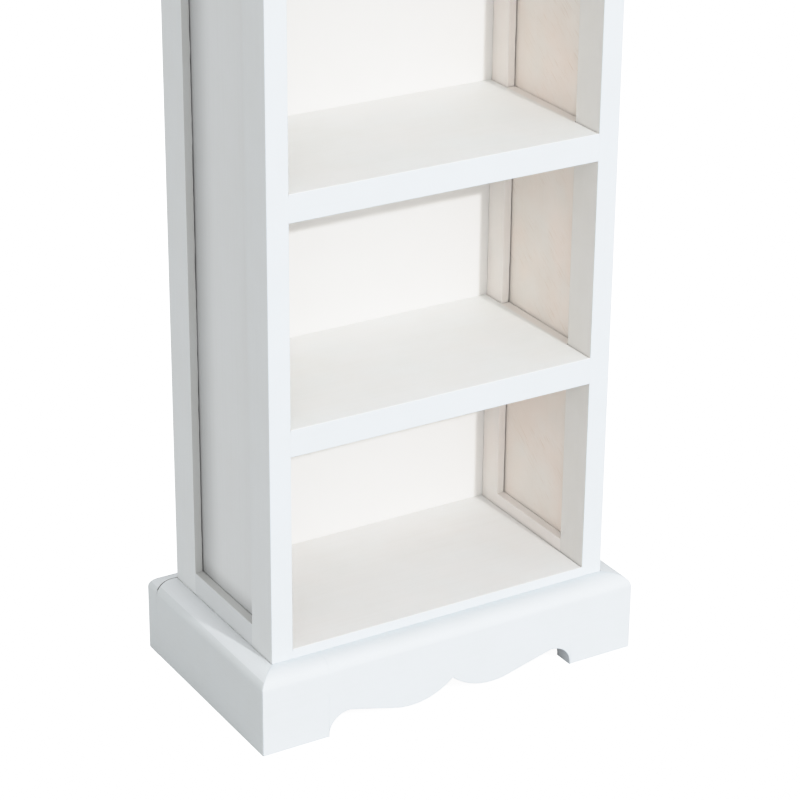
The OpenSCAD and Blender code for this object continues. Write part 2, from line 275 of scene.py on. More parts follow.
def remap(tree, value, from_range=(0.0, 1.0), to_range=(0.0, 1.0), **settings):
    return add_node(tree, "ShaderNodeMapRange", {
        "Value": value, "From Min": from_range[0], "From Max": from_range[1],
        "To Min": to_range[0], "To Max": to_range[1]}, **settings).outputs["Result"]


def multiply(tree, a, b, plus=None):
    """a * b, or a * b + plus."""
    inputs = {0: a, 1: b}
    if plus is not None:
        inputs[2] = plus
    operation = "MULTIPLY" if plus is None else "MULTIPLY_ADD"
    return add_node(tree, "ShaderNodeMath", inputs, operation=operation).outputs[0]


def multiply_colour(tree, colour, by):
    return add_node(tree, "ShaderNodeVectorMath", {0: colour, 1: by},
                    operation="MULTIPLY").outputs["Vector"]


def mix_colour(tree, factor, a, b):
    return add_node(tree, "ShaderNodeMix", {"Factor": factor, "A": a, "B": b},
                    data_type="RGBA").outputs["Result"]


def bump(tree, height, depth, normal=None):
    """Relief of the given depth in metres, on top of an earlier normal."""
    inputs = {"Height": height, "Distance": depth}
    if normal is not None:
        inputs["Normal"] = normal
    return add_node(tree, "ShaderNodeBump", inputs).outputs["Normal"]


def along_grain(axis, across, along):
    """Texture scale with its own value along one axis."""
    return [along if name == axis else across for name in "xyz"]


def new_material(name):
    """(material, node tree, inputs of its Principled BSDF)."""
    material = bpy.data.materials.new(name)
    material.use_nodes = True
    tree = material.node_tree
    return material, tree, tree.nodes["Principled BSDF"].inputs


# ------------------------------------------------------------------ materials
def paint(name, colour, axis, seed, rough=0.42, grain=1.0, peel=1.0, mottle=1.0,
          thin=(0.86, 0.83, 0.78), streak=0.0, specular=0.4, tint=0.0):
    """White paint on wood: grain and brush marks along one axis, orange peel, mottling.

    thin multiplies the colour where the coat is thin, streak is the strength of the
    diagonal scratches and tint that of the undercoat patches.
    """
    material, tree, surface = new_material(name)
    coordinates = object_coordinates(tree)

    def mapping(scale, rotation=(0, 0, 0)):
        return add_node(tree, "ShaderNodeMapping", {
            "Vector": coordinates, "Rotation": rotation, "Scale": scale,
            "Location": (seed * 1.37, seed * 0.71 + 0.3, seed * 2.11)}).outputs["Vector"]

    even = (1, 1, 1)
    fibre = noise_texture(tree, mapping(along_grain(axis, across=900.0, along=22.0)),
                          scale=1.0, detail=3.0, roughness=0.6)
    brush = noise_texture(tree, mapping(along_grain(axis, across=420.0, along=9.0)),
                          scale=1.0, distortion=0.4)
    orange_peel = noise_texture(tree, mapping(even), scale=620.0, roughness=0.55)
    cloud = noise_texture(tree, mapping(even), scale=26.0, detail=3.0, roughness=0.55)

    # slightly warmer and darker where the coat is thin
    mottled = remap(tree, cloud, from_range=(0.38, 0.68))
    brushed = remap(tree, brush, from_range=(0.45, 0.75))
    thinness = multiply(tree, mottled, 0.10 * mottle)
    thinness = multiply(tree, brushed, 0.05 * grain, plus=thinness)
    if streak > 0:      # fine diagonal sanding scratches under the coat, only in patches
        turned = mapping(even, rotation=(math.radians(-38), 0, 0))
        stretched = add_node(tree, "ShaderNodeMapping", {
            "Vector": turned, "Scale": (60.0, 60.0, 1300.0)}).outputs["Vector"]
        scratch = remap(tree, noise_texture(tree, stretched, scale=1.0, detail=1.0),
                        from_range=(0.60, 0.76))
        patch = remap(tree, noise_texture(tree, mapping(even), scale=15.0, detail=1.0),
                      from_range=(0.44, 0.58))
        thinness = multiply(tree, multiply(tree, scratch, patch), streak, plus=thinness)
    thin_colour = [c * factor for c, factor in zip(colour, thin)]
    shade = mix_colour(tree, thinness, (*colour, 1), (*thin_colour, 1))
    if tint > 0:        # undercoat showing: rosy in some places, grey-green in others
        patch = noise_texture(tree, mapping((1, 1, 0.8)), scale=20.0, distortion=0.2)
        patch = remap(tree, patch, from_range=(0.28, 0.72), interpolation_type="SMOOTHSTEP")
        rosy = (1 + 0.30 * tint, 1 - 0.25 * tint, 1 - 0.60 * tint, 1)
        grey_green = (1 - 0.30 * tint, 1.0, 1 - 0.05 * tint, 1)
        shade = multiply_colour(tree, shade, mix_colour(tree, patch, rosy, grey_green))
    tree.links.new(shade, surface["Base Color"])

    # roughness varies with the brush marks
    tree.links.new(remap(tree, brush, to_range=(rough - 0.06, rough + 0.10)),
                   surface["Roughness"])
    surface["Specular IOR Level"].default_value = specular

    normal = bump(tree, fibre, depth=0.000006 * grain)
    normal = bump(tree, brush, depth=0.000010 * grain, normal=normal)
    normal = bump(tree, orange_peel, depth=0.000010 * peel, normal=normal)
    normal = bump(tree, cloud, depth=0.00005 * peel, normal=normal)
    tree.links.new(normal, surface["Normal"])
    return material


def wood(name, dark, light, axis, seed, rough, ring_scale=90.0):
    """Bare timber: growth rings stretched along the grain, and fine fibres."""
    material, tree, surface = new_material(name)
    vector = add_node(tree, "ShaderNodeMapping", {
        "Vector": object_coordinates(tree),
        "Scale": along_grain(axis, across=1.0, along=0.06),
        "Location": (seed * 0.9, seed * 1.7, seed * 0.4)}).outputs["Vector"]
    rings = noise_texture(tree, vector, scale=ring_scale, detail=4.0, distortion=1.2)
    fibres = noise_texture(tree, vector, scale=1400.0)
    figure = multiply(tree, fibres, 0.35, plus=rings)
    darkness = remap(tree, figure, from_range=(0.45, 0.95))
    tree.links.new(mix_colour(tree, darkness, (*light, 1), (*dark, 1)), surface["Base Color"])
    surface["Roughness"].default_value = rough
    tree.links.new(bump(tree, figure, depth=0.00008), surface["Normal"])
    return material


def steel(name):
    """Zinc-plated steel with a fine uneven finish."""
    material, tree, surface = new_material(name)
    finish = noise_texture(tree, object_coordinates(tree), scale=900.0, detail=3.0)
    tree.links.new(remap(tree, finish, to_range=(0.28, 0.5)), surface["Roughness"])
    grey, pale = (0.42, 0.42, 0.44, 1), (0.62, 0.61, 0.58, 1)
    tree.links.new(mix_colour(tree, finish, grey, pale), surface["Base Color"])
    surface["Metallic"].default_value = 1.0
    tree.links.new(bump(tree, finish, depth=0.00003), surface["Normal"])
    return material


def split_position(tree):
    return add_node(tree, "ShaderNodeSeparateXYZ", {0: object_coordinates(tree)}).outputs


def paint_recess_shade(material, spans):
    """Painted shade: darkens a paint towards the frame, where the recess shades it; spans are
    (axis, from, to, factor) in mm.
    """
    tree = material.node_tree
    base = tree.nodes["Principled BSDF"].inputs["Base Color"]
    colour = base.links[0].from_socket
    position = split_position(tree)
    for axis, start, end, factor in spans:
        strength = remap(tree, position[axis], (start / 1000, end / 1000), (1.0, factor),
                         interpolation_type="SMOOTHERSTEP")
        colour = add_node(tree, "ShaderNodeVectorMath", {0: colour, "Scale": strength},
                          operation="SCALE").outputs["Vector"]
    tree.links.new(colour, base)


def paint_warm_end_shade(material, start, end, factors):
    """Painted warm shade: tints both ends of a shelf, where they run in beside the panels, from
    start to end mm out from the middle.
    """
    tree = material.node_tree
    base = tree.nodes["Principled BSDF"].inputs["Base Color"]
    colour = base.links[0].from_socket
    distance = add_node(tree, "ShaderNodeMath", {0: split_position(tree)["X"]},
                        operation="ABSOLUTE").outputs[0]
    amount = remap(tree, distance, (start / 1000, end / 1000),
                   interpolation_type="SMOOTHSTEP")
    tinted = multiply_colour(tree, colour, factors)
    tree.links.new(mix_colour(tree, amount, colour, tinted), base)


FRAME_WHITE = (0.755, 0.765, 0.752)
# painted light: the front faces take a bluer, brighter copy of the frame's white paint, for the
# light that falls on the front
FRONT_LIT_WHITE = (0.768, 0.808, 0.840)
# painted shade: the reveals round the recessed panels take a darker copy of the frame's white
# paint, for the shade in the recess
REVEAL_SHADE_WHITE = (0.580, 0.580, 0.562)
# painted light: the faces inside the compartments take warmer copies of the white paint, for the
# warm light bounced about inside
REAR_INNER_BOUNCE_WHITE = (0.908, 0.862, 0.824)
INNER_COAT = dict(peel=1.6, mottle=1.6)
SHELF_COAT = dict(grain=1.6, peel=1.5, rough=0.5, tint=0.018)
MOULDING_COAT = dict(specular=0.2, rough=0.55)
# the order sets each paint's seed
PAINTS = {
    "frame_z": dict(colour=FRAME_WHITE, axis="z"),
    "frame_y": dict(colour=FRAME_WHITE, axis="y"),
    # painted shade: the rails' outer faces take a darker copy of the frame paint, for the shade
    # that falls on the lower rail
    "rail_shade_y": dict(colour=(0.700, 0.712, 0.705), axis="y"),
    "front_x": dict(colour=FRONT_LIT_WHITE, axis="x"),
    "front_z": dict(colour=FRONT_LIT_WHITE, axis="z"),
    "reveal_shade_z": dict(colour=REVEAL_SHADE_WHITE, axis="z", mottle=2.0),
    "reveal_shade_y": dict(colour=REVEAL_SHADE_WHITE, axis="y", mottle=2.0),
    # painted light: warm copies for the faces inside the compartments, for the bounced light
    # there
    "inner_bounce_z": dict(colour=(0.820, 0.800, 0.765), axis="z", **INNER_COAT),
    "inner_bounce_y": dict(colour=REAR_INNER_BOUNCE_WHITE, axis="y", **INNER_COAT),
    "inner_rear": dict(colour=REAR_INNER_BOUNCE_WHITE, axis="z", tint=0.04, **INNER_COAT),
    "shelf": dict(colour=(0.922, 0.925, 0.910), axis="x", **SHELF_COAT),
    # painted shade: the bottom board takes a darker copy of the shelves' paint, for how light
    # falls on it
    "floor_board_shade": dict(colour=(0.864, 0.857, 0.843), axis="x", **SHELF_COAT),
    # painted shade: the side and rear boards' outer faces and the lower part of their rounding
    # take a darker copy of the moulding paint, where the light no longer reaches
    "mould_side_shade": dict(colour=(0.702, 0.722, 0.716), axis="y", **MOULDING_COAT),
    # painted light: the front moulding boards take a bluer copy of the moulding paint, for the
    # light on the front
    "mould_x": dict(colour=(0.760, 0.792, 0.815), axis="x", **MOULDING_COAT),
    "mould_y": dict(colour=(0.775, 0.790, 0.792), axis="y", **MOULDING_COAT),
    "back": dict(colour=(0.885, 0.866, 0.838), axis="z", grain=0.3, mottle=0.5, rough=0.5),
    # painted light: the panel's two faces are copies of one paint; the inside's warm beige is
    # partly the panel's thin wash and partly painted warm bounce light, and the outside is a
    # darker grey copy for the lesser light on the outer sides
    "panel": dict(colour=(0.916, 0.850, 0.795), axis="z", mottle=2.2, peel=3.0,
                  streak=0.70, rough=0.55, thin=(0.88, 0.82, 0.76), tint=0.075),
    "panel_out_shade": dict(colour=(0.765, 0.770, 0.755), axis="z", grain=1.6, mottle=0.8,
                      peel=1.5, rough=0.5),
}
MATERIALS = {name: paint("paint_" + name, seed=seed, **coat)
             for seed, (name, coat) in enumerate(PAINTS.items(), 1)}
# painted shade on the panels' outer faces, darker towards the rear stile and the bottom rail
paint_recess_shade(MATERIALS["panel_out_shade"], [("Y", OPEN_REAR_Y - 36, OPEN_REAR_Y + 4, 0.70),
                                     ("Z", OPEN_LOW_Z + 18, OPEN_LOW_Z - 2, 0.78)])
# painted warm shade on the shelf tops where they run in beside the panels
paint_warm_end_shade(MATERIALS["shelf"], INNER_X - 3.0, INNER_X + 1.0, factors=(0.975, 0.92, 0.885))
# painted shade: bare wood made near black for the faces inside grooves, cracks and seams, so
# they show as the shade in them
MATERIALS["gap"] = wood("gap_shade_wood", dark=(0.030, 0.022, 0.016), light=(0.07, 0.05, 0.035),
                        axis="z", seed=3, rough=0.9)
MATERIALS["softwood"] = wood("bare_softwood", dark=(0.46, 0.30, 0.15),
                             light=(0.66, 0.49, 0.29), axis="x", seed=5, rough=0.7,
                             ring_scale=60.0)
MATERIALS["beech"] = wood("beech_dowel", dark=(0.50, 0.33, 0.18), light=(0.66, 0.48, 0.30),
                          axis="x", seed=8, rough=0.55, ring_scale=120.0)
MATERIALS["steel"] = steel("zinc_steel")

# ------------------------------------------------------------------ side frames
# heights where a stile's section changes, each bracketed closely
EDGE_HEIGHTS = [z for lo, hi in BOARDS.values()
                for z in (lo[2] - 0.6, lo[2] + 0.9, hi[2] - 0.9, hi[2] + 0.6)]
EDGE_HEIGHTS += [OPEN_LOW_Z - 0.6, OPEN_LOW_Z + 0.8, OPEN_HIGH_Z - 0.8, OPEN_HIGH_Z + 0.6,
                 plinth_hi[2] - 1, plinth_hi[2] + 1, cornice_lo[2]]


def at_board(z):
    return any(lo[2] + 0.9 < z < hi[2] - 0.9 for lo, hi in BOARDS.values())


def at_rail(z):
    return z < OPEN_LOW_Z - 0.3 or z > OPEN_HIGH_Z + 0.3


def lip(position, seed):
    """Ragged edge of the paint at a groove."""
    return (0.16 * noise.noise(Vector((position / 3.1, seed, 0)))
            + 0.30 * noise.noise(Vector((position / 11.0, seed, 5.0))))


def loft_stile(section):
    """Stile from section(z), which gives the corners and radii at a height."""
    rings = []
    for z, inset in stations(FOOT_Z, TOP_Z, 0.6, 0.3, 3.0, EDGE_HEIGHTS):
        corners, radii = section(z)
        rings.append(place(rounded_outline(corners, radii, 3, inset), z, "z"))
    return loft(rings)


def front_stile(seed):
    """Its panel groove is in the rear face."""
    def section(z):
        inner = SHARP if at_board(z) else 0.8
        outer = SHARP if at_rail(z) else 0.6
        inner_rear = 0.2 if at_board(z) or at_rail(z) else 0.5
        groove_in = GROOVE_IN + 0.4 * lip(z, seed)
        groove_out = GROOVE_OUT + 0.4 * lip(z, seed + 3)
        floor = OPEN_FRONT_Y - GROOVE_DEPTH
        corners = [(INNER_X, FRONT_Y), (OUTER_X, FRONT_Y), (OUTER_X, OPEN_FRONT_Y),
                   (groove_out, OPEN_FRONT_Y), (groove_out, floor), (groove_in, floor),
                   (groove_in, OPEN_FRONT_Y), (INNER_X, OPEN_FRONT_Y)]
        return corners, [inner, 0.9, outer, 0.25, 0.2, 0.2, 0.25, inner_rear]
    return loft_stile(section)


def rear_stile(seed):
    """Panel groove in the front face, a second groove in the inner face for the back."""
    back_front, back_rear = back_lo[1] - 0.30, back_hi[1] + 0.12
    back_end = back_hi[0] + 0.5

    def section(z):
        outer = SHARP if at_rail(z) else 0.6
        inner = 0.2 if at_rail(z) else 0.7
        groove_in = GROOVE_IN - 0.45 + lip(z, seed)
        groove_out = GROOVE_OUT + 0.30 + lip(z, seed + 3)
        floor = OPEN_REAR_Y + GROOVE_DEPTH
        corners = [(INNER_X, OPEN_REAR_Y), (groove_in, OPEN_REAR_Y), (groove_in, floor),
                   (groove_out, floor), (groove_out, OPEN_REAR_Y), (OUTER_X, OPEN_REAR_Y),
                   (OUTER_X, REAR_Y), (INNER_X, REAR_Y), (INNER_X, back_rear),
                   (back_end, back_rear), (back_end, back_front), (INNER_X, back_front)]
        return corners, [inner, 0.25, 0.2, 0.2, 0.25, outer, 0.9, 0.8, 0.25, 0.1, 0.1, 0.2]
    return loft_stile(section)


def rail(side, bottom, top, is_lower):
    """Cross rail between the stiles; its groove faces the panel."""
    rings = []
    seed = 21.5 + side + (5 if is_lower else 0)
    for y, inset in stations(OPEN_FRONT_Y - 0.05, OPEN_REAR_Y + 0.05, 0.05, 0.05, 3.0):
        groove_in = GROOVE_IN + 0.35 * lip(y, seed)
        groove_out = GROOVE_OUT + 0.35 * lip(y, seed + 3)
        if is_lower:        # corners are (z, x)
            floor = top - GROOVE_DEPTH
            corners = [(bottom, INNER_X), (top, INNER_X), (top, groove_in),
                       (floor, groove_in), (floor, groove_out), (top, groove_out),
                       (top, OUTER_X), (bottom, OUTER_X)]
            radii = [0.5, 0.6, 0.25, 0.2, 0.2, 0.25, 0.6, 0.5]
        else:
            floor = bottom + GROOVE_DEPTH
            corners = [(bottom, OUTER_X), (bottom, groove_out), (floor, groove_out),
                       (floor, groove_in), (bottom, groove_in), (bottom, INNER_X),
                       (top, INNER_X), (top, OUTER_X)]
            radii = [0.6, 0.25, 0.2, 0.2, 0.25, 0.6, 0.5, 0.5]
        rings.append(place(rounded_outline(corners, radii, 3, inset), y, "y"))
    return loft(rings)


def panel():
    """Thin panel as two grids joined at the edges, slightly bowed in its play."""
    columns, rows = 26, 150
    verts, faces = [], []
    for face_x in (panel_lo[0], panel_hi[0]):
        for k in range(rows + 1):
            for j in range(columns + 1):
                y = panel_lo[1] + (panel_hi[1] - panel_lo[1]) * j / columns
                z = panel_lo[2] + (panel_hi[2] - panel_lo[2]) * k / rows
                bow = (0.22 * noise.noise(Vector((y / 60, z / 120, 3.0)))
                       + 0.06 * noise.noise(Vector((y / 9, z / 14, 8.0))))
                verts.append((face_x + bow, y, z))
    row = columns + 1
    outer = row * (rows + 1)        # first vertex of the outer grid
    for k in range(rows):
        for j in range(columns):
            a = k * row + j
            b = outer + a
            faces.append((a, a + row, a + row + 1, a + 1))
            faces.append((b, b + 1, b + row + 1, b + row))
    for k in range(rows):
        for j in (0, columns):
            a = k * row + j
            quad = (a, a + row, outer + a + row, outer + a)
            faces.append(quad if j else tuple(reversed(quad)))
    for j in range(columns):
        for k in (0, rows):
            a = k * row + j
            quad = (a, a + 1, outer + a + 1, outer + a)
            faces.append(tuple(reversed(quad)) if k else quad)
    return verts, faces


def in_groove_width(x):
    return GROOVE_IN - 0.9 < x < GROOVE_OUT + 0.9


def outside_panel(x):
    return GROOVE_OUT + 0.3 < x < OUTER_X - 0.4


def stile_role(centre):
    x, y = centre[0], centre[1]
    # groove faces take the near-black painted-shade material
    if in_groove_width(x) and (OPEN_FRONT_Y - GROOVE_DEPTH - 0.5 < y < OPEN_FRONT_Y - 0.3
                               or OPEN_REAR_Y + 0.3 < y < OPEN_REAR_Y + GROOVE_DEPTH + 0.5):
        return "gap"
    if INNER_X + 0.2 < x < back_hi[0] + 0.7 and back_lo[1] - 0.6 < y < back_hi[1] + 0.3:
        return "gap"
    if x < GROOVE_IN + 0.2 and FRONT_Y + 0.7 < y < REAR_Y - 0.8:
        return "inner"
    # the reveal faces take the darker painted-shade copy of the paint
    if outside_panel(x) and (abs(y - OPEN_FRONT_Y) < 0.4 or abs(y - OPEN_REAR_Y) < 0.4):
        return "reveal"
    return "front" if y < FRONT_Y + 0.4 else "outer"


def rail_role(centre):
    x, z = centre[0], centre[2]
    if in_groove_width(x) and (OPEN_LOW_Z - GROOVE_DEPTH - 0.5 < z < OPEN_LOW_Z - 0.3
                               or OPEN_HIGH_Z + 0.3 < z < OPEN_HIGH_Z + GROOVE_DEPTH + 0.5):
        return "gap"
    if outside_panel(x) and (abs(z - OPEN_LOW_Z) < 0.4 or abs(z - OPEN_HIGH_Z) < 0.4):
        return "reveal"
    return "inner" if x < GROOVE_IN + 0.2 else "outer"


def panel_role(centre):
    return "outer" if centre[0] > (panel_lo[0] + panel_hi[0]) / 2 else "inner"


def add_side_frame(side, tag):
    """Everything is shaped on the right (+x) and mirrored for the left."""
    mirror = side < 0
    seeds = (1.5, 4.5) if side > 0 else (9.5, 14.5)
    for node, mesh, inner in (("_front_stile", front_stile(seeds[0]), "inner_bounce_z"),
                              ("_rear_stile", rear_stile(seeds[1]), "inner_rear")):
        coats = dict(outer="frame_z", gap="gap", inner=inner, front="front_z",
                     reveal="reveal_shade_z")
        add_piece(tag + node, mesh, coats, roles_by(mesh, stile_role),
                  mirror=mirror)
    coats = dict(outer="rail_shade_y", gap="gap", inner="inner_bounce_y", reveal="reveal_shade_y")
    for node, is_lower in (("_bottom_rail", True), ("_top_rail", False)):
        lo, hi = box_mm("right" + node)
        mesh = rail(side, lo[2], hi[2], is_lower)
        add_piece(tag + node, mesh, coats, roles_by(mesh, rail_role),
                  mirror=mirror)
    mesh = panel()
    add_piece(tag + "_panel", mesh, dict(inner="panel", outer="panel_out_shade"),
              roles_by(mesh, panel_role), is_sheet=True, mirror=mirror)


add_side_frame(1, "right")
add_side_frame(-1, "left")


# ------------------------------------------------------------------ shelves, back
def add_board(node):
    """Board between the sides; a wider one also runs out beside the panels."""
    lo, hi = BOARDS[node]
    end = INNER_X - 0.30
    wide_end = min(hi[0], panel_lo[0] - 0.55)
    right = [(INNER_X - 0.02, FRONT_Y), (INNER_X - 0.02, FRONT_Y + 1.6), (end, FRONT_Y + 3.0)]
    radii = [SHARP, 0.3, 0.3]
    if hi[0] > INNER_X + 1:
        wide_front, wide_rear = OPEN_FRONT_Y + 0.45, OPEN_REAR_Y - 0.55
        right += [(end, wide_front), (wide_end, wide_front),
                  (wide_end, wide_rear), (end, wide_rear)]
        radii += [0.4, 0.5, 0.5, 0.4]
    right.append((end, hi[1]))
    radii.append(0.4)
    outline = right + [(-x, y) for x, y in reversed(right)]
    mesh = slab(outline, radii + radii[::-1], lo[2], hi[2], arris=0.7)

    def role(centre):
        if centre[1] < FRONT_Y + 0.5 and centre[2] < hi[2] - 0.25:
            return "front"
        # the shelf ends beside the stiles take the near-black painted-shade material
        if (abs(centre[0]) > INNER_X - 0.6 and centre[1] > FRONT_Y + 2.0
                and centre[2] < hi[2] - 0.3):
            return "gap"
        return "board"

    board_coat = "floor_board_shade" if node == "bottom_board" else "shelf"
    add_piece(node, mesh, dict(board=board_coat, front="front_x", gap="gap"),
              roles_by(mesh, role))


for node in BOARDS:
    add_board(node)

add_piece("back_panel", slab(rectangle(back_lo, back_hi), [0.3] * 4, back_lo[2], back_hi[2],
                             arris=0.3, steps=2, spacing=10.0),
          dict(sheet="back"), is_sheet=True)

# ------------------------------------------------------------------ plinth and cornice
# The cornice boards are the plinth boards turned upside down, without the scallop. In a
# board's section, d is the distance out from the body and z the height.
FRONT_THICK = plinth_hi[1] - plinth_lo[1]               # also of the side boards
REAR_THICK = plinth_rear_hi[1] - plinth_rear_lo[1]
ROUND_WIDE, ROUND_HIGH = 13.5, 11.0      # the rounding is a little flatter than a quarter circle
LOWER_ARRIS = 0.7
MITRE_RADIUS = 1.1                       # vertical arris at the front corners

# half of the scalloped lower edge, as (x, z) circles: a hanging lobe, then a cove
LOBE_CENTRE, LOBE_RADIUS = np.array([37.0, 62.0]), 56.0
COVE_CENTRE, COVE_RADIUS = np.array([93.5, 1.5]), 17.0


def arc(centre, radius, start, end, count, sign):
    """Points and unit normals (x, z, normal x, normal z) round an arc, kept above z = 0."""
    points = []
    for k in range(count + 1):
        a = start + (end - start) * k / count
        points.append((centre[0] + radius * math.cos(a),
                       max(0.0, centre[1] + radius * math.sin(a)),
                       sign * math.cos(a), sign * math.sin(a)))
    return points


def scallop_path():
    """Right half of the lower edge, from the middle out, with normals into the wood."""
    apart = LOBE_CENTRE - COVE_CENTRE
    turn = (math.atan2(apart[1], apart[0])
            - math.acos((LOBE_RADIUS + COVE_RADIUS) / np.linalg.norm(apart)))
    normal = np.array([math.cos(turn), math.sin(turn)])
    lobe_end = LOBE_CENTRE - LOBE_RADIUS * normal
    cove_start = COVE_CENTRE + COVE_RADIUS * normal
    middle = math.atan2(-math.sqrt(LOBE_RADIUS * LOBE_RADIUS - LOBE_CENTRE[0] ** 2),
                        -LOBE_CENTRE[0])
    path = arc(LOBE_CENTRE, LOBE_RADIUS, middle, math.atan2(-normal[1], -normal[0]), 40, -1)
    for k in range(1, 12):
        x, z = lobe_end + (cove_start - lobe_end) * (k / 12)
        path.append((x, z, normal[0], normal[1]))
    return path + arc(COVE_CENTRE, COVE_RADIUS, math.atan2(normal[1], normal[0]),
                      math.asin(-COVE_CENTRE[1] / COVE_RADIUS), 20, 1)


def outer_section(thickness, height):
    """(d, z, outward d, outward z): rounding, outer face, then the five arris points."""
    section = []
    for k in range(10):
        t = k / 9 * math.pi / 2
        section.append((thickness - ROUND_WIDE + ROUND_WIDE * math.sin(t),
                        height - ROUND_HIGH + ROUND_HIGH * math.cos(t),
                        math.sin(t), math.cos(t)))
    section += [(thickness, height * 0.6, 1, 0), (thickness, height * 0.42, 1, 0)]
    for t in QUARTER_TURN:
        section.append((thickness - LOWER_ARRIS * (1 - math.cos(t)),
                        LOWER_ARRIS * (1 - math.sin(t)), math.cos(t), -math.sin(t)))
    return section


def mitre_point(d, angle):
    """Overrun past the body corner and distance out, 0 to 45 degrees round the corner."""
    return (d - MITRE_RADIUS + MITRE_RADIUS * math.sin(angle),
            d - MITRE_RADIUS * (1 - math.cos(angle)))


def seam(position, seed, least=0.10, extra=0.35):
    """Width of the ragged paint line where the board meets the body."""
    ragged = (0.5 + 0.9 * noise.noise(Vector((position / 9.0, seed, 1.0)))
              + 0.5 * noise.noise(Vector((position / 2.3, seed, 6.0))))
    return least + extra * max(0.0, ragged)


def set_height(points, height, base, flip):
    """Lifts a ring to its base height; flip turns it upside down."""
    points = np.array(points)
    z = points[:, 2]
    points[:, 2] = base + height - z if flip else base + z
    return points


def strip_roles(rings, dark_rows=0, face_strip=math.inf):
    """Bare wood made near black, as painted shade, by the seam and on the first rows and cap;
    outer face from face_strip on.
    """
    roles = []
    for i in range(len(rings) - 1):
        for j in range(len(rings[0])):
            if i < dark_rows or j in (2, 3):
                roles.append("gap")
            else:
                roles.append("face" if j >= face_strip else "main")
    return roles + ["gap" if dark_rows else "main", "main"]


def front_skirt(height, base, flip):
    """Front board lofted along x, mitred at both ends; (mesh, roles)."""
    # stations of the right half: x, mitre angle, lower edge z, its normal x and z
    half = []
    straight = [0, 20, 40, 60, 80, 100]
    if not flip:
        half = [(x, None, z, nx, nz) for x, z, nx, nz in scallop_path()]
        straight = [111.2]
    half += [(float(x), None, 0.0, 0, 1) for x in straight + [118, 128, 138, 147]]
    half += [(0.0, angle, 0.0, 0, 1) for angle in HALF_CORNER]
    outer = outer_section(FRONT_THICK, height)

    def ring(station, sign):
        x, angle, edge, nx, nz = station
        seam_x = sign * (x if angle is None else OUTER_X)
        section = [(0.3, edge, x), (0.0, edge + nz * 0.3, x + nx * 0.3),
                   (0.0, height * 0.5, x), (0.0, height - 1.2, x),
                   (seam(seam_x, 2.0, least=0.04, extra=0.10), height, x)]
        section += [(d, z, x) for d, z, _, _ in outer[:-5]]
        section += [(d, edge + nz * z, x + nx * z) for d, z, _, _ in outer[-5:]]
        points = []
        for d, z, along in section:
            if angle is not None:
                overrun, d = mitre_point(d, angle)
                along = OUTER_X + overrun
            points.append((sign * along, FRONT_Y - d, z))
        return set_height(points, height, base, flip)

    rings = [ring(station, -1) for station in reversed(half)]
    # a station exactly in the middle is already there
    rings += [ring(station, 1) for station in half
              if station[1] is not None or station[0] != 0.0]
    return loft(rings), strip_roles(rings)


def side_skirt(height, base, flip):
    """Right-hand board lofted along y from the rear end to the mitre; (mesh, roles)."""
    outer = outer_section(FRONT_THICK, height)

    def section(y):
        return [(0.3, 0.0, -1, -1), (0.0, 0.3, -1, -1), (0.0, height * 0.5, -1, 0),
                (0.0, height - 1.5, -1, 0), (seam(y, 3.0), height, -0.5, 1)] + outer

    def end_point(d, z, out_d, out_z, angle):
        # the crack opens at the seam ledge and the rounding and closes lower down
        upper = near(height - 9.0, height + 5, z, 1.2)
        corner = upper * near(FRONT_THICK - 4.5, FRONT_THICK + 2, d, 3.0)
        radius = 0.04 + (0.16 * upper + 0.55 * corner) * (
            0.75 + 0.7 * noise.noise(Vector((d / 2.2, z / 2.5, 2.0))))
        crack = 0.05 * upper + corner * (
            0.30 + 0.5 * noise.noise(Vector((d / 2.8, z / 3.1, 7.0))))
        inset = 1 - math.sin(angle)
        return (OUTER_X + d - out_d * radius * inset,
                REAR_Y - 0.03 - radius * (1 - math.cos(angle)) - max(0.02, crack),
                z - out_z * radius * inset)

    rings = [[end_point(*point, angle) for point in section(REAR_Y)]
             for angle in QUARTER_TURN]
    rings += [[(OUTER_X + d, y, z) for d, z, _, _ in section(y)]
              for y in reversed(spread(FRONT_Y, REAR_Y - 1.2, 3.0))]
    for angle in HALF_CORNER:
        points = []
        for d, z, _, _ in section(FRONT_Y):
            overrun, out = mitre_point(d, angle)
            points.append((OUTER_X + out, FRONT_Y - overrun, z))
        rings.append(points)
    rings = [set_height(points, height, base, flip) for points in rings]
    # painted shade: from halfway down the rounding, and on the outer face, the darker copy of
    # the moulding paint
    return loft(rings), strip_roles(rings, dark_rows=3, face_strip=10)


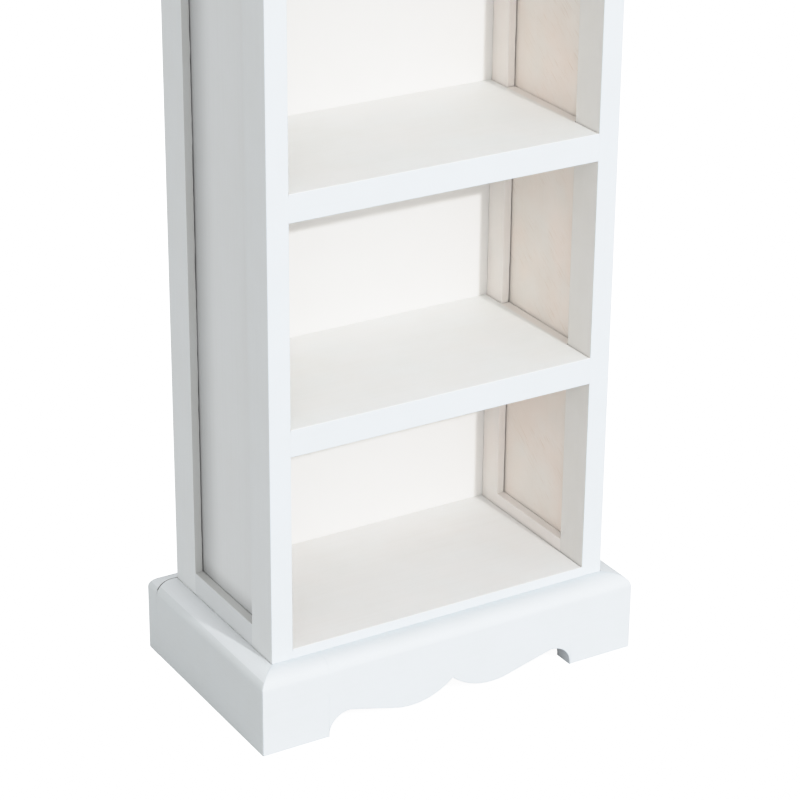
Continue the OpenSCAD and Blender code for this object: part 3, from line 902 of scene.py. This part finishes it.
def rear_skirt(height, base, flip):
    """Rear board lofted along x; the rounding runs on round both ends; (mesh, roles)."""
    end_x = OUTER_X + FRONT_THICK
    round_x = end_x - ROUND_WIDE             # where the rounding of the end begins
    section = [(0.3, 0.0, -1, -1), (0.0, 0.3, -1, -1), (0.0, height * 0.5, -1, 0)]
    section += [(0.0, height - drop, -1, 0) for drop in (12.0, 10.0, 8.0, 6.0, 4.0, 2.5, 1.2)]
    section += [(0.0, height - 0.35, -1, 0.5), (0.35, height, -0.5, 1)]
    section += outer_section(REAR_THICK, height)

    # (x, inset) of the right half
    right = [(float(x), 0.0) for x in (0, 20, 40, 60, 80, 100, 120, 135, 148)]
    curve = [round_x + ROUND_WIDE * math.sin(k / 12 * math.pi / 2) for k in range(12)]
    right += [(x, 0.0) for x in curve if x < end_x - 0.75]
    right += [(end_x - 0.7 * (1 - math.cos(a)), 1 - math.sin(a))
              for a in reversed(QUARTER_TURN)]

    def ring(x, inset):
        top = height
        if abs(x) >= round_x:
            across = (abs(x) - end_x + ROUND_WIDE) / ROUND_WIDE
            top = height - ROUND_HIGH + ROUND_HIGH * math.sqrt(max(0.0, 1 - across ** 2))
        points = []
        for d, z, out_d, out_z in section:
            # the inner arris is rounded only near the upper edge
            upper = near(height - 13.0, height + 5, z, 6.0) if d < 1 else 1.0
            radius = 0.7 if d > 1 else 0.05 + 0.65 * upper
            limit = top - 0.02 * (height - z) if z < height - 0.01 else top
            points.append((x, REAR_Y + 0.02 + d - out_d * radius * inset,
                           min(z - out_z * radius * inset, limit)))
        return set_height(points, height, base, flip)

    mesh = loft([ring(-x, inset) for x, inset in reversed(right)]
                + [ring(x, inset) for x, inset in right if x > 0])
    # painted shade: faces below this height take the darker copy of the moulding paint
    edge = base + 5.5 if flip else base + height - 5.5

    def role(centre):
        if centre[1] < REAR_Y + 0.2 and abs(centre[0]) < end_x - 1.0:
            return "gap"
        return "main" if (centre[2] < edge if flip else centre[2] > edge) else "face"

    return mesh, roles_by(mesh, role)


def add_skirt(name, lo, hi, flip):
    """Four boards round the body, the plinth's or the cornice's."""
    size = (hi[2] - lo[2], lo[2], flip)
    front_coats = dict(main="mould_x", gap="gap")
    coats = dict(main="mould_y", gap="gap", face="mould_side_shade")
    side = side_skirt(*size)
    for end, (mesh, roles), board_coats in (("_front", front_skirt(*size), front_coats),
                                            ("_right", side, coats),
                                            ("_left", side, coats),
                                            ("_rear", rear_skirt(*size), coats)):
        turn_outward(add_piece(name + end, mesh, board_coats, roles,
                               mirror=end == "_left"))


add_skirt("plinth", plinth_lo, plinth_hi, flip=False)
add_skirt("cornice", cornice_lo, cornice_hi, flip=True)

top_lo, top_hi = box_mm("top_board")
add_piece("top_board", slab(rectangle(top_lo, top_hi), [2.0] * 4, top_lo[2], top_hi[2],
                            arris=5.0, steps=5),
          dict(board="mould_x"))

# ------------------------------------------------------------------ kept CAD nodes
KEPT = {
    "softwood": ("front_base_rail", "rear_base_rail"),
    "beech": ("frame_dowels", "shelf_dowels", "top_dowels"),
    "steel": ("plinth_screws", "cornice_pins", "back_pins"),
}
for material, nodes in KEPT.items():
    for node in nodes:
        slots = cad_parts[node].data.materials
        slots.clear()
        slots.append(MATERIALS[material])

# ------------------------------------------------------------------ floor and world
scene = bpy.context.scene
COOL_WHITE = (0.977, 1.0, 1.028)


def add_floor(half_width, grey, camera_glow):
    """Pale floor that also glows where the camera sees it."""
    data = bpy.data.meshes.new("floor")
    data.from_pydata([(-half_width, -half_width, 0), (half_width, -half_width, 0),
                      (half_width, half_width, 0), (-half_width, half_width, 0)],
                     [], [(0, 1, 2, 3)])
    floor = bpy.data.objects.new("floor", data)
    scene.collection.objects.link(floor)
    material = bpy.data.materials.new("pale_floor")
    material.use_nodes = True
    tree = material.node_tree
    tree.nodes.clear()
    output = add_node(tree, "ShaderNodeOutputMaterial")
    diffuse = add_node(tree, "ShaderNodeBsdfDiffuse", {"Color": (grey, grey, grey, 1)})
    glow = add_node(tree, "ShaderNodeEmission", {"Strength": camera_glow})
    path = add_node(tree, "ShaderNodeLightPath")
    glowing = add_node(tree, "ShaderNodeAddShader",
                       {0: diffuse.outputs[0], 1: glow.outputs[0]})
    chosen = add_node(tree, "ShaderNodeMixShader", {
        0: path.outputs["Is Camera Ray"], 1: diffuse.outputs[0], 2: glowing.outputs[0]})
    tree.links.new(chosen.outputs[0], output.inputs["Surface"])
    data.materials.append(material)


def add_world(camera_strength, light_strength, light_colour):
    """Background with one strength for the camera and another for lighting."""
    world = bpy.data.worlds.new("studio")
    scene.world = world
    world.use_nodes = True
    tree = world.node_tree
    tree.nodes.clear()
    output = add_node(tree, "ShaderNodeOutputWorld")
    seen = add_node(tree, "ShaderNodeBackground", {"Strength": camera_strength})
    lighting = add_node(tree, "ShaderNodeBackground",
                        {"Strength": light_strength, "Color": (*light_colour, 1)})
    path = add_node(tree, "ShaderNodeLightPath")
    chosen = add_node(tree, "ShaderNodeMixShader", {
        0: path.outputs["Is Camera Ray"], 1: lighting.outputs[0], 2: seen.outputs[0]})
    tree.links.new(chosen.outputs[0], output.inputs["Surface"])


add_floor(half_width=14.0, grey=0.62, camera_glow=1.2)
add_world(camera_strength=1.6, light_strength=0.76, light_colour=COOL_WHITE)


# ------------------------------------------------------------------ lights
def add_light(name, kind, source, target, energy, colour):
    data = bpy.data.lights.new(name, kind)
    data.energy = energy
    data.color = colour
    light = bpy.data.objects.new(name, data)
    scene.collection.objects.link(light)
    light.location = source
    light.rotation_mode = "QUATERNION"
    light.rotation_quaternion = (Vector(target) - Vector(source)).to_track_quat("-Z", "Y")
    return data


def add_lamp(name, source, target, diameter, energy, colour, falloff):
    """Disk lamp of even strength over the height of the piece, as from far away."""
    data = add_light(name, "AREA", source, target, energy, colour)
    data.shape = "DISK"
    data.size = diameter
    data.use_nodes = True
    tree = data.node_tree
    even = add_node(tree, "ShaderNodeLightFalloff", {"Strength": falloff})
    tree.links.new(even.outputs["Constant"], tree.nodes["Emission"].inputs["Strength"])


def add_sun(name, source, spread_degrees, energy, colour):
    data = add_light(name, "SUN", source, (0, 0, 0), energy, colour)
    data.angle = math.radians(spread_degrees)


add_lamp("key", source=(0.260, -2.666, 1.675), target=(0, 0, 0.35), diameter=0.08,
         energy=36.5, colour=COOL_WHITE, falloff=1.0 / 8.4)
add_sun("sun_camera_side", source=(-0.468, -0.779, 0.417), spread_degrees=40, energy=0.38,
        colour=(0.985, 1.0, 1.02))
add_sun("sun_low_front", source=(0.05, -1.0, 0.10), spread_degrees=30, energy=0.22,
        colour=(0.99, 1.0, 1.01))
add_sun("sun_left_back", source=(-0.75, 0.9, 0.1), spread_degrees=80, energy=0.15,
        colour=COOL_WHITE)

# ------------------------------------------------------------------ camera and view
# unit axes of the camera, in the world
CAMERA_RIGHT = (0.8592962586487471, -0.5114134071517875, 0.008140445790339207)
CAMERA_UP = (0.20706582721706263, 0.3623847241670828, 0.9087359654428018)
CAMERA_BACK = (-0.4676897294908015, -0.7791878070630645, 0.41729207787001377)

camera_data = bpy.data.cameras.new("camera")
camera = bpy.data.objects.new("camera", camera_data)
scene.collection.objects.link(camera)
camera_data.sensor_width = 36.0
camera_data.lens = 124.60977
camera_data.clip_start = 0.05
camera_data.clip_end = 60.0
pose = Matrix((CAMERA_RIGHT, CAMERA_UP, CAMERA_BACK)).transposed().to_4x4()
pose.translation = Vector((-1.00296757, -1.6050832 + FRONT_Y / 1000.0, 1.12013417))
camera.matrix_world = pose
scene.camera = camera

view = scene.view_settings
view.view_transform = "Standard"
view.look = "None"
view.exposure = 0.0
view.gamma = 1.0
# gentle shoulder: whites roll off instead of clipping; points are (scene value, shown value)
SHOULDER_WHITE = 1.5
SHOULDER = [(0.0, 0.0), (0.60, 0.60), (0.75, 0.74), (0.85, 0.82),
            (1.0, 0.895), (1.15, 0.945), (1.3, 0.98), (SHOULDER_WHITE, 1.0)]
view.use_curve_mapping = True
mapping = view.curve_mapping
mapping.use_clip = False
mapping.extend = "HORIZONTAL"
curve = mapping.curves[3]
while len(curve.points) < len(SHOULDER):
    curve.points.new(0.5, 0.5)
mapping.white_level = (SHOULDER_WHITE,) * 3
for point, (value, shown) in zip(curve.points, SHOULDER):
    point.location = (value / SHOULDER_WHITE, shown)
mapping.update()
